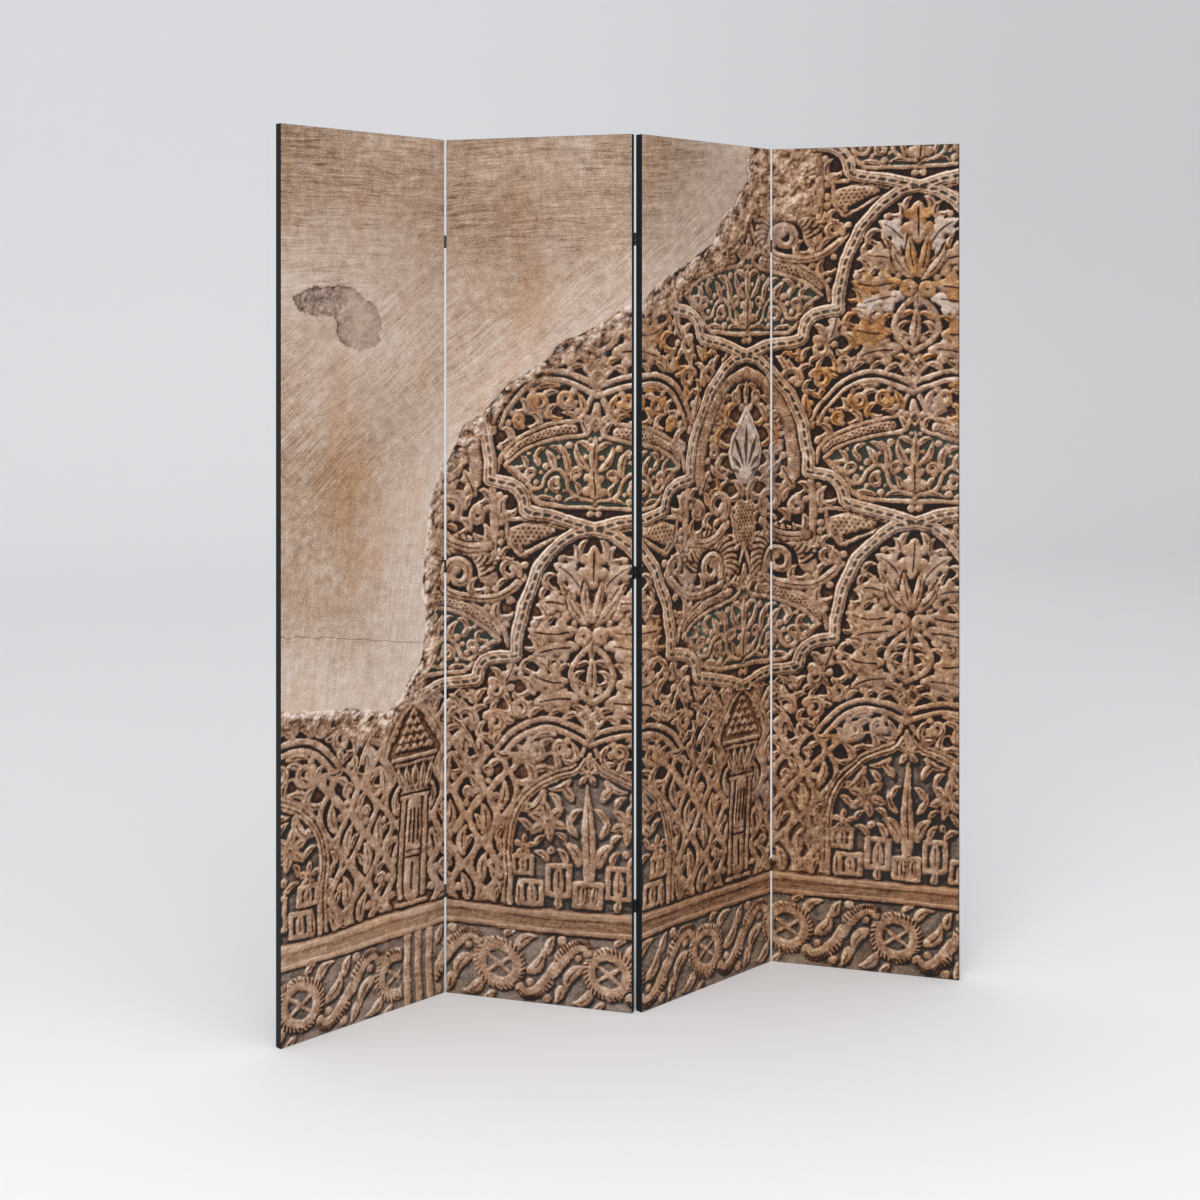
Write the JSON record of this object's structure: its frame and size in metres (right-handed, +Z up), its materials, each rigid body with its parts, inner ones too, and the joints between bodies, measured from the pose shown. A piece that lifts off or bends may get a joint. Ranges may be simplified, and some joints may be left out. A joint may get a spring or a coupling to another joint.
{
  "type": "folding screen",
  "caption": "Freestanding folding room divider: slim wooden frames covered in canvas printed with weathered plaster and carved ornament, joined edge to edge by small butt hinges.",
  "frame": {"origin": "centre of the standing screen's bounding box, on the floor", "axes": "+Z up, +X along the screen from the first panel to the last, -Y out of the printed fronts; stored folded in an even zigzag"},
  "size_m": [1.4204, 0.2134, 1.76],
  "materials": {
    "printed_canvas": "matt printed canvas with black edges",
    "back_cloth": "plain black nonwoven cloth",
    "frame_wood": "planed pine, unfinished",
    "dowel_wood": "turned beech, unfinished",
    "staple_steel": "galvanised wire",
    "hinge_black": "black enamelled steel",
    "screw_black": "black phosphated steel"
  },
  "bodies": {
    "panel_1": {"panel_1_left_stile": "frame_wood", "panel_1_right_stile": "frame_wood", "panel_1_top_rail": "frame_wood", "panel_1_bottom_rail": "frame_wood", "panel_1_upper_cross_rail": "frame_wood", "panel_1_lower_cross_rail": "frame_wood", "panel_1_dowels": "dowel_wood", "panel_1_printed_canvas": "printed_canvas", "panel_1_back_cloth": "back_cloth", "panel_1_staples": "staple_steel", "joint_1_hinge_leaves_left": "hinge_black", "joint_1_hinge_pins": "hinge_black", "joint_1_hinge_screws_left": "screw_black"},
    "panel_2": {"panel_2_left_stile": "frame_wood", "panel_2_right_stile": "frame_wood", "panel_2_top_rail": "frame_wood", "panel_2_bottom_rail": "frame_wood", "panel_2_upper_cross_rail": "frame_wood", "panel_2_lower_cross_rail": "frame_wood", "panel_2_dowels": "dowel_wood", "panel_2_printed_canvas": "printed_canvas", "panel_2_back_cloth": "back_cloth", "panel_2_staples": "staple_steel", "joint_2_hinge_leaves_left": "hinge_black", "joint_2_hinge_pins": "hinge_black", "joint_2_hinge_screws_left": "screw_black", "joint_1_hinge_leaves_right": "hinge_black", "joint_1_hinge_screws_right": "screw_black"},
    "panel_3": {"panel_3_left_stile": "frame_wood", "panel_3_right_stile": "frame_wood", "panel_3_top_rail": "frame_wood", "panel_3_bottom_rail": "frame_wood", "panel_3_upper_cross_rail": "frame_wood", "panel_3_lower_cross_rail": "frame_wood", "panel_3_dowels": "dowel_wood", "panel_3_printed_canvas": "printed_canvas", "panel_3_back_cloth": "back_cloth", "panel_3_staples": "staple_steel", "joint_3_hinge_leaves_left": "hinge_black", "joint_3_hinge_pins": "hinge_black", "joint_3_hinge_screws_left": "screw_black", "joint_2_hinge_leaves_right": "hinge_black", "joint_2_hinge_screws_right": "screw_black"},
    "panel_4": {"panel_4_left_stile": "frame_wood", "panel_4_right_stile": "frame_wood", "panel_4_top_rail": "frame_wood", "panel_4_bottom_rail": "frame_wood", "panel_4_upper_cross_rail": "frame_wood", "panel_4_lower_cross_rail": "frame_wood", "panel_4_dowels": "dowel_wood", "panel_4_printed_canvas": "printed_canvas", "panel_4_back_cloth": "back_cloth", "panel_4_staples": "staple_steel", "joint_3_hinge_leaves_right": "hinge_black", "joint_3_hinge_screws_right": "screw_black"}
  },
  "joints": [
    {"name": "fold_1_2", "type": "hinge", "parent": "panel_2", "child": "panel_1", "pos_m": [-0.35596, 0.09173, 0.88], "axis": [0, 0, 1], "range_deg": [-60, 120]},
    {"name": "fold_2_3", "type": "hinge", "parent": "panel_2", "child": "panel_3", "pos_m": [0, -0.09173, 0.88], "axis": [0, 0, 1], "range_deg": [-60, 120]},
    {"name": "fold_3_4", "type": "hinge", "parent": "panel_3", "child": "panel_4", "pos_m": [0.35596, 0.09173, 0.88], "axis": [0, 0, -1], "range_deg": [-60, 120]}
  ]
}
